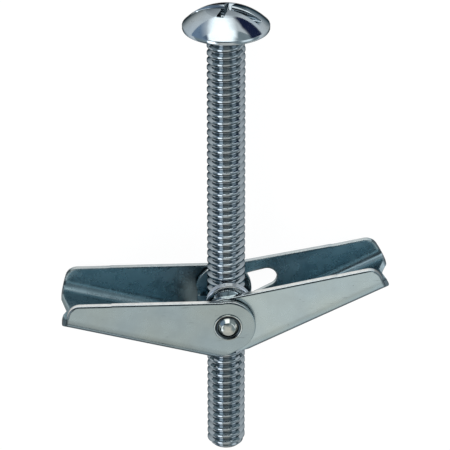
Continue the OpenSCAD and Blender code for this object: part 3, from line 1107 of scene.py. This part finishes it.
@dataclass
class Recipe:
    """A node tree, with short ways to add shader nodes, each of which returns an output."""

    tree: bpy.types.NodeTree

    def add(
        self,
        kind: str,
        output: int | str,
        *links: tuple[int | str, Socket | float | tuple],
        **settings: object,
    ) -> Socket:
        """Adds a shader node.

        Args:
            kind: Its type, without its prefix.
            output: The output to return.
            links: Pairs of an input and the socket or value that goes into it.
            settings: Its own settings.

        Returns:
            The output.
        """
        node = self.tree.nodes.new(f"ShaderNode{kind}")
        for setting, value in settings.items():
            setattr(node, setting, value)
        for place, value in links:
            if isinstance(value, Socket):
                self.tree.links.new(value, node.inputs[place])
            else:
                node.inputs[place].default_value = value
        return node.outputs[output]

    def noise(self, where: Socket, size: float, detail: float = 3.0) -> Socket:
        """Adds a noise with features of a size in millimetres."""
        return self.add("TexNoise", "Fac", ("Vector", where), ("Scale", 1 / (size * MM)), ("Detail", detail))

    def span(
        self, value: Socket, low: float, high: float, to: tuple[float, float] = (0.0, 1.0), **settings: str
    ) -> Socket:
        """Adds a clamped map of the range from low to high to another."""
        ends = (("From Min", low), ("From Max", high), ("To Min", to[0]), ("To Max", to[1]))
        return self.add("MapRange", "Result", ("Value", value), *ends, **settings)

    def step(self, value: Socket, low: float, high: float) -> Socket:
        """Adds a smooth step from 0 at low to 1 at high."""
        return self.span(value, low, high, interpolation_type="SMOOTHSTEP")

    def maths(self, operation: str, a: Socket | float, b: Socket | float = 0.0) -> Socket:
        """Adds a sum or another operation on one or two values."""
        return self.add("Math", 0, (0, a), (1, b), operation=operation)

    def total(self, *terms: tuple[Socket, float]) -> Socket:
        """Adds the sum of values that are each multiplied by a weight."""
        products = [self.maths("MULTIPLY", value, weight) for value, weight in terms]
        return reduce(lambda a, b: self.maths("ADD", a, b), products)

    def blend(self, share: Socket, a: Socket | tuple, b: Socket | tuple) -> Socket:
        """Adds a colour mix from a to b."""
        return self.add("Mix", "Result", ("Factor", share), ("A", a), ("B", b), data_type="RGBA")

    def marked(self, label: str) -> Socket:
        """Adds the reading of a label's marks on the piece."""
        return self.add("Attribute", "Fac", attribute_name=label)

    def cover(self, share: Socket, a: Socket, b: Socket) -> None:
        """Gives the surface a mix of two shaders."""
        mix = self.add("MixShader", 0, (0, share), (1, a), (2, b))
        self.tree.links.new(mix, self.tree.nodes["Material Output"].inputs["Surface"])


def new_material(name: str) -> tuple[bpy.types.Material, Recipe, bpy.types.Node]:
    """Adds a material.

    Args:
        name: Its name.

    Returns:
        The material, its recipe and its plain shader.
    """
    material = bpy.data.materials.new(name)
    material.use_nodes = True
    return material, Recipe(material.node_tree), material.node_tree.nodes["Principled BSDF"]


def shade(colour: Triple, *factors: float) -> tuple[float, float, float, float]:
    """Returns a colour times one factor, or one for each channel, with alpha."""
    factors = factors * 3 if len(factors) == 1 else factors
    return (*(c * f for c, f in zip(colour, factors)), 1.0)


def dress(piece: Object, material: bpy.types.Material) -> None:
    """Gives a piece one material in place of those it has."""
    piece.data.materials.clear()
    piece.data.materials.append(material)


@dataclass(frozen=True)
class ZincFinish:
    """Bright zinc plating on steel, with the marks of its making and handling, and painted light and shade
    where asked for.

    Args:
        name: The material's name.
        colour: Colour of the clean plating.
        rough_from: Roughness of its glossiest patches.
        rough_to: Roughness of its dullest patches.
        edge_tint: Share of the light that it mirrors at a glancing view.
        mottle: How much lighter and darker its patches are.
        mottle_size: Size of the patches.
        ripple: Depth of the waves in its surface.
        worn: Colour of the metal laid bare along cut edges, or None for none.
        thread_depth: Depth below the crests at which the thread's painted shade is darkest, or 0 for no
            thread.
        thread_top: Radius at which the thread is lightest.
        painted_shade_marks: Whether its marked painted shade is dark.
        inside: Colour painted on the faces inside a channel, lighter and bluer than the plating, as painted
            light for how they are lit there, or None for none. Those faces are also duller.
    """

    name: str
    colour: Triple
    rough_from: float
    rough_to: float
    edge_tint: float = 0.3
    mottle: float = 0.10
    mottle_size: float = 2.4
    ripple: float = 0.004
    worn: Triple | None = None
    thread_depth: float = 0.0
    thread_top: float = 3.04
    painted_shade_marks: bool = False
    inside: Triple | None = None

    def make(self) -> bpy.types.Material:
        """Makes the material.

        Returns:
            The material.
        """
        material, recipe, shader = new_material(self.name)
        where = recipe.add("TexCoord", "Object")
        patches = recipe.span(recipe.noise(where, self.mottle_size), 0.34, 0.66)
        grain_size, grain_h, mark_h = 0.22, 0.0006, -0.002
        wave, grain = recipe.noise(where, 0.8 * self.mottle_size, 1), recipe.noise(where, grain_size, 2)
        marks, within = self.marks(recipe, where), recipe.marked("inside")
        height = recipe.total((wave, self.ripple * MM), (grain, grain_h * MM), (marks, mark_h * MM))
        dull = recipe.total((patches, 0.6), (grain, 0.4), (marks, 0.3), (within, 0.15))
        sockets = {
            "Base Color": self.hue(recipe, where, patches, marks),
            "Roughness": recipe.span(dull, 0.1, 0.9, (self.rough_from, self.rough_to)),
            "Normal": recipe.add("Bump", "Normal", ("Height", height), ("Distance", 1.0), ("Strength", 1.0)),
        }
        for place, socket in sockets.items():
            recipe.tree.links.new(socket, shader.inputs[place])
        shader.inputs["Metallic"].default_value = 1
        shader.inputs["Specular Tint"].default_value = (self.edge_tint, self.edge_tint, self.edge_tint, 1)
        return material

    def hue(self, recipe: Recipe, where: Socket, patches: Socket, marks: Socket) -> Socket:
        """Adds the colour: mottled plating with its marks, what is marked on the piece, and painted light and
        shade.

        Args:
            recipe: The material's recipe.
            where: The place on the piece.
            patches: 0 to 1 over the patches.
            marks: 1 in pits and scratches.

        Returns:
            The colour.
        """
        mark_shade, painted_shade_tint = 0.55, (0.08, 0.10, 0.12)
        root_painted_shade, crest_painted_shade, wear_size = 0.66, 0.8, 0.9
        levels = (1 - self.mottle, 1 + self.mottle)
        cloud = recipe.span(recipe.noise(where, 4 * self.mottle_size, 2), 0.35, 0.65)
        cool, warm = (
            recipe.blend(patches, *(shade(self.colour, level * red, level, level * blue) for level in levels))
            for red, blue in ((0.98, 1.03), (1.04, 0.95))
        )
        colour = recipe.blend(cloud, cool, warm)
        colour = recipe.blend(marks, colour, shade(self.colour, mark_shade))
        # Painted light: the faces inside a channel get a lighter, bluer copy of the plating colour.
        if self.inside:
            inside_painted_light = recipe.blend(patches, *(shade(self.inside, level) for level in levels))
            colour = recipe.blend(recipe.marked("inside"), colour, inside_painted_light)
        # Painted shade: the thread is darker than the head, and darkest in its roots.
        if self.thread_depth:
            crest, beyond = self.crest(recipe, where)
            thread = recipe.blend(crest, shade(self.colour, root_painted_shade), shade(self.colour, crest_painted_shade))
            colour = recipe.blend(beyond, thread, colour)
        # Painted shade: darkens what a piece marks as painted shade.
        if self.painted_shade_marks:
            colour = recipe.blend(recipe.marked("painted_shade"), colour, shade(self.colour, *painted_shade_tint))
        if self.worn:
            uneven = recipe.span(recipe.noise(where, wear_size), 0.3, 0.6, (0.7, 1.0))
            bare = recipe.maths("MULTIPLY", recipe.marked("worn"), uneven)
            colour = recipe.blend(bare, colour, shade(self.worn, 1))
        return colour

    def marks(self, recipe: Recipe, where: Socket) -> Socket:
        """Adds small pits and fine scratches.

        Args:
            recipe: The material's recipe.
            where: The place on the piece.

        Returns:
            A value that is 1 in a mark and 0 outside it.
        """
        pit_gap = 1.1
        cells = recipe.add("TexVoronoi", "Distance", ("Vector", where), ("Scale", 1 / (pit_gap * MM)))
        some = recipe.span(recipe.noise(where, 3.1, 2), 0.5, 0.62)
        pits = recipe.maths("MULTIPLY", recipe.span(cells, 0.10, 0.05), some)
        turned = (("Rotation", (0.2, 0.3, 0.35)), ("Scale", (1, 14, 6)))
        lines = recipe.noise(recipe.add("Mapping", "Vector", ("Vector", where), *turned), 3.6, 2)
        few = recipe.span(recipe.noise(where, 2.0, 2), 0.5, 0.6)
        scratches = recipe.maths("MULTIPLY", recipe.span(lines, 0.66, 0.72, (0.0, 0.6)), few)
        return recipe.maths("MAXIMUM", pits, scratches)

    def crest(self, recipe: Recipe, where: Socket) -> tuple[Socket, Socket]:
        """Adds the height in the thread.

        Args:
            recipe: The material's recipe.
            where: The place on the piece.

        Returns:
            A value that is 0 at the thread's root and 1 at its crest, and one that
            is 1 on what is wider than the thread.
        """
        across = recipe.add("VectorMath", 0, (0, where), (1, (1, 0, 1)), operation="MULTIPLY")
        radius = recipe.add("VectorMath", "Value", (0, across), operation="LENGTH")
        top = self.thread_top * MM
        low = top - self.thread_depth * MM
        return recipe.span(radius, low, top), recipe.span(radius, 1.04 * top, 1.08 * top)


OUTER_ZINC = ZincFinish(
    "zinc_outer_wing", (0.31, 0.39, 0.42), 0.17, 0.31,
    mottle=0.06, worn=(0.84, 0.85, 0.83), painted_shade_marks=True, inside=(0.46, 0.64, 0.71),
)
INNER_ZINC = replace(OUTER_ZINC, name="zinc_inner_wing", colour=(0.40, 0.50, 0.54))
BOLT_ZINC = ZincFinish(
    "zinc_bolt", (0.38, 0.44, 0.48), 0.06, 0.15,
    edge_tint=0.06, mottle=0.05, mottle_size=1.6, ripple=0.001, thread_depth=0.42,
)
NUT_ZINC = ZincFinish(
    "zinc_nut", (0.38, 0.46, 0.50), 0.10, 0.24, edge_tint=0.2, mottle=0.08, mottle_size=1.2, ripple=0.003
)
RIVET_ZINC = ZincFinish(
    "zinc_rivet", (0.44, 0.48, 0.47), 0.05, 0.12,
    edge_tint=0.2, mottle=0.06, mottle_size=0.9, ripple=0.001, painted_shade_marks=True,
)
SPRING_WIRE = ZincFinish(
    "spring_wire", (0.42, 0.47, 0.52), 0.07, 0.16, mottle=0.06, mottle_size=0.8, ripple=0.001
)


# Studio ------------------------------------------------------------------------


@dataclass(frozen=True)
class Panel:
    """A soft panel of the studio's surroundings, far from the bolt.

    Args:
        towards: Direction of its middle.
        across: Direction of its width.
        half_width: Half its width, at distance one.
        half_height: Half its height, at distance one.
        soft: Width of its soft border, at distance one.
        colour: Its colour.
    """

    towards: Triple
    across: Triple
    half_width: float
    half_height: float
    soft: float
    colour: Triple

    def mask(self, recipe: Recipe, direction: Socket) -> Socket:
        """Adds the nodes that are 1 inside the panel and 0 outside it.

        Args:
            recipe: The world's recipe.
            direction: The direction being looked in.

        Returns:
            The mask.
        """
        towards = Vector(self.towards).normalized()
        across = Vector(self.across)
        across = (across - towards * across.dot(towards)).normalized()
        ahead, *sideways = (
            recipe.add("VectorMath", "Value", (0, direction), (1, axis), operation="DOT_PRODUCT")
            for axis in (towards, across, towards.cross(across))
        )
        mask = recipe.step(ahead, 0.02, 0.1)
        for value, half in zip(sideways, (self.half_width, self.half_height)):
            ratio = recipe.maths("DIVIDE", recipe.maths("ABSOLUTE", value), ahead)
            edge = recipe.step(ratio, half + self.soft, half - self.soft)
            mask = recipe.maths("MULTIPLY", edge, mask)
        return mask


@dataclass(frozen=True)
class Card:
    """A small studio card that stands beyond the head and shows in polished metal alone.

    Args:
        name: Its name.
        corners: Its corners, as (x, z) pairs.
        beyond: How far up the bolt's axis it stands from the head's underside.
        glow: Its light, where 1 is white.
        soft: Width of its faded border on either side of its outline.
    """

    name: str
    corners: tuple[tuple[float, float], ...]
    beyond: float
    glow: Triple
    soft: float

    def build(self) -> None:
        """Stands the card in the studio, with a border that fades out."""
        outline = refine(np.array(self.corners), 1.0)
        shell = Shell()
        outer, inner = (
            shell.add((x, self.beyond, z) for x, z in outline + outward(outline) * step)
            for step in (self.soft, -self.soft)
        )
        shell.bridge(outer, inner)
        shell.faces.append(tuple(inner))
        card = shell.build(self.name)
        mark(card, "fade", [0.0] * len(outer) + [1.0] * len(inner))
        card.visible_camera = card.visible_shadow = card.visible_diffuse = False
        material, recipe, _ = new_material(self.name)
        clear = recipe.add("BsdfTransparent", 0)
        glow = recipe.add("Emission", 0, ("Color", shade(self.glow, 1)))
        recipe.cover(recipe.marked("fade"), clear, glow)
        dress(card, material)


@dataclass(frozen=True)
class Studio:
    """Floor, surroundings, cards and camera around the toggle bolt.

    Args:
        look_at: The point that the camera looks at.
        distance: How far the camera is from it.
        elevation: How far the camera looks down from the bolt's head.
        yaw: How far it is turned about the bolt.
        focal: Its focal length, in pixels of the frame.
        centre_x: The pixel column of its axis.
        frame: Width of the frame in pixels.
        ambient: Colour of the surroundings between the panels.
        panels: The panels, each over those before it.
        cards: The cards.
    """

    look_at: Triple = (0.0, -34.72, 0.0)
    distance: float = 613.055
    elevation: float = 26.312
    yaw: float = 2.492
    focal: float = 3775.2
    centre_x: float = 226.10
    frame: int = 450
    ambient: Triple = (0.36, 0.43, 0.46)
    panels: tuple[Panel, ...] = (
        Panel((-0.55, -1.0, 0.0), (1, 0, 0), 0.5, 1.2, 0.25, (0.08, 0.09, 0.10)),
        Panel((-0.84, 0.5, 0.2), (0.5, 0.84, 0), 0.38, 0.55, 0.16, (0.24, 0.35, 0.52)),
        Panel((0.0, -0.85, 0.5), (1, 0, 0), 0.45, 0.40, 0.14, (0.80, 0.76, 0.70)),
        Panel((-0.33, 0.40, 0.86), (1, 0, 0), 0.52, 0.50, 0.10, (0.04, 0.05, 0.06)),
        Panel((0.0, 0.42, 0.9), (1, 0, 0), 0.36, 0.13, 0.06, (0.26, 0.32, 0.35)),
        Panel((0.6, -0.85, 0.15), (1, 0, 0), 0.42, 0.3, 0.12, (0.84, 0.84, 0.80)),
        Panel((0.0, -0.44, 0.9), (1, 0, 0), 0.34, 0.36, 0.14, (1.0, 0.95, 0.88)),
        Panel((-0.62, -0.25, 0.74), (1, 0, 1), 0.21, 0.42, 0.08, (3.1, 3.15, 3.25)),
        Panel((0.78, 0.2, 0.58), (1, 0, -1), 0.26, 0.6, 0.12, (1.5, 1.58, 1.64)),
        Panel((-0.17, 0.97, 0.1), (1, 0, 0), 0.45, 0.5, 0.16, (2.6, 2.6, 2.55)),
        Panel((-0.62, 0.76, 0.12), (1, 0, 0), 0.13, 0.13, 0.05, (0.03, 0.05, 0.12)),
    )
    cards: tuple[Card, ...] = (
        Card("bright_card", ((-6, -9), (0.5, -9), (4.5, 9), (-11, 9)), 16.0, (2.6, 2.6, 2.55), 2.6),
        Card(
            "dark_card", ((9, -12), (31, -12), (28, 1), (19, 8), (9, 2.5), (4, -4.5)),
            16.2, (0.02, 0.03, 0.08), 1.0,
        ),
        Card("blue_card", ((-130, -20), (-10, -20), (-15, 16), (-130, 70)), 16.4, (0.30, 0.40, 0.53), 4.0),
    )

    def place_camera(self) -> None:
        """Sets up the scene's camera."""
        data = bpy.data.cameras.new("studio_camera")
        camera = add_object("studio_camera", data)
        rise, turn = math.radians(self.elevation), math.radians(self.yaw)
        back = Vector((-math.sin(turn) * math.cos(rise), math.sin(rise), math.cos(turn) * math.cos(rise)))
        right = Vector((0, 1, 0)).cross(back).normalized()
        turned = Matrix((right, back.cross(right), back)).transposed()
        camera.rotation_mode = "QUATERNION"
        camera.rotation_quaternion = turned.to_quaternion()
        camera.location = (Vector(self.look_at) + back * self.distance) * MM
        data.sensor_width = 36.0
        data.lens = self.focal / self.frame * data.sensor_width
        data.shift_x = (self.frame / 2 - self.centre_x) / self.frame
        data.clip_start = 0.01
        data.clip_end = 20
        bpy.context.scene.camera = camera

    def make_world(self) -> None:
        """Builds the surroundings: plain grey with soft panels."""
        world = bpy.data.worlds.new("studio")
        bpy.context.scene.world = world
        world.use_nodes = True
        recipe = Recipe(world.node_tree)
        direction = recipe.add("TexCoord", "Generated")
        colour = shade(self.ambient, 1)
        for panel in self.panels:
            colour = recipe.blend(panel.mask(recipe, direction), colour, shade(panel.colour, 1))
        recipe.tree.links.new(colour, recipe.tree.nodes["Background"].inputs["Color"])

    def lay_floor(self) -> None:
        """Lays the white floor that the rear rivet and the head rest on."""
        rest_y, rest_z, head_y, head_z = -PIVOT_BELOW_HEAD, -8.38, 0.3, -7.0
        slope = (head_z - rest_z) / (head_y - rest_y)
        size = 6000.0
        corners = ((-size, -size), (size, -size), (size, size), (-size, size))
        shell = Shell()
        shell.faces.append(tuple(shell.add((x, y, rest_z + slope * (y - rest_y)) for x, y in corners)))
        floor = shell.build("floor")
        material, recipe, shader = new_material("white_floor")
        white, glow_strength, glow_share = 0.85, 1.08, 0.88
        shader.inputs["Base Color"].default_value = (white, white, white, 1)
        shader.inputs["Roughness"].default_value = 0.9
        glow = recipe.add("Emission", 0, ("Strength", glow_strength))
        rays = ("Is Camera Ray", "Is Glossy Ray", "Is Transmission Ray")
        camera, glossy, transmission = (recipe.add("LightPath", ray) for ray in rays)
        seen = recipe.maths("MAXIMUM", recipe.maths("MAXIMUM", camera, glossy), transmission)
        recipe.cover(recipe.maths("MULTIPLY", seen, glow_share), shader.outputs[0], glow)
        dress(floor, material)


# Assembly ----------------------------------------------------------------------


def fit(piece: Object, material: bpy.types.Material, body: str | None, slot: str, *replaced: str) -> None:
    """Dresses a piece, ties it to the frame and reports it.

    Args:
        piece: The piece.
        material: Its only material.
        body: The body that it rides, or None for a piece that bends between two.
        slot: Not used.
        replaced: The frame's nodes that it stands in for.
    """
    dress(piece, material)
    if body:
        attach(piece, body)
    if replaced:
        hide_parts(*replaced)
    log.info("%s: %d faces", piece.name, len(piece.data.polygons))


def main() -> None:
    """Builds every piece round the frame."""
    logging.basicConfig(level=logging.INFO)
    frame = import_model()
    studio = Studio()
    studio.place_camera()
    studio.make_world()
    studio.lay_floor()
    for card in studio.cards:
        card.build()
    outer = ChannelWing("outer_wing_sheet", 14.8, OUTER_OPEN, Side.LEFT, end_bare=0.9, pivot_shade=0.85)
    inner = ChannelWing("inner_wing_sheet", 12.0, INNER_OPEN, Side.RIGHT, slotted=True, end_bare=0.35)
    inner = replace(inner, rear_rise=0.5, rear_gain=0.2, rear_lean=19.0, notch_at=-0.9)
    for wing, node, finish in ((outer, "outer_wing", OUTER_ZINC), (inner, "inner_wing", INNER_ZINC)):
        piece = wing.build()
        weigh_normals(piece)
        fit(piece, finish.make(), node, "zinc_sheet", node)
    body = NutBody().build(frame["nodes"]["trunnion_nut"])
    weigh_normals(body)
    fit(body, NUT_ZINC.make(), "nut", "zinc_nut", "trunnion_nut")
    fit(MachineScrew().build(), BOLT_ZINC.make(), "bolt", "zinc_bolt", "bolt")
    rivet_zinc = RIVET_ZINC.make()
    for end in (RivetEnd("front_rivet", face_z=7.43), RivetEnd("rear_rivet", face_z=-7.43)):
        fit(end.build(), rivet_zinc, "nut", "zinc_nut")
    spring_wire = SPRING_WIRE.make()
    coil, outer_leg, inner_leg = TorsionSpring().build()
    fit(coil, spring_wire, "nut", "spring_wire", "torsion_spring")
    for leg in (outer_leg, inner_leg):
        fit(leg, spring_wire, None, "spring_wire", "torsion_spring")
    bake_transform(outer_leg)
    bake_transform(inner_leg)
    bpy.context.scene.view_settings.view_transform = "Standard"


if __name__ == "__main__":
    main()
